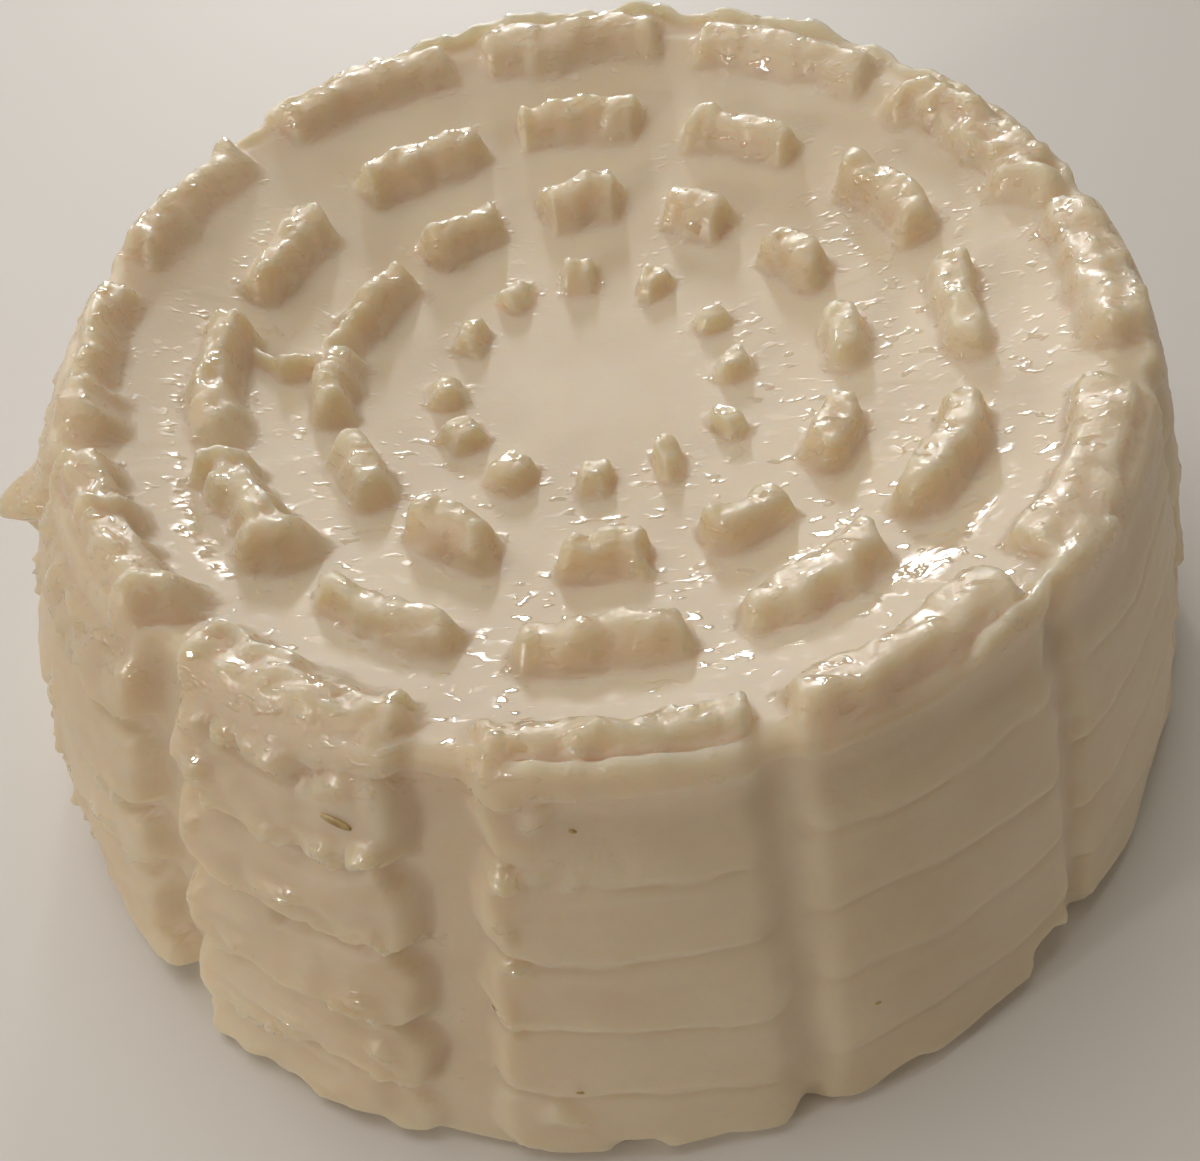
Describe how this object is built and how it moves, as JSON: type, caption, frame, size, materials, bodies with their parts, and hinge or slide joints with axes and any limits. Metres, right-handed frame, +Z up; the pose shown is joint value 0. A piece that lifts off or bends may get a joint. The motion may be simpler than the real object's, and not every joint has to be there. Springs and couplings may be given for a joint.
{
  "type": "queso fresco cheese",
  "caption": "Round of fresh white cheese turned out of a ribbed draining basket, with raised blocks on its dished top and lapping bands round its side.",
  "frame": {"origin": "on the table, under the middle of the cheese's flat base", "axes": "+Z up through the middle of the dished top; a panel of the side faces -Y, towards the viewer, and +X is to the right"},
  "size_m": [0.1262, 0.1262, 0.0506],
  "materials": {
    "curd": "wet, milky fresh curd, cream white, slightly translucent"
  },
  "bodies": {
    "root": {"queso_fresco": "curd"}
  },
  "joints": []
}
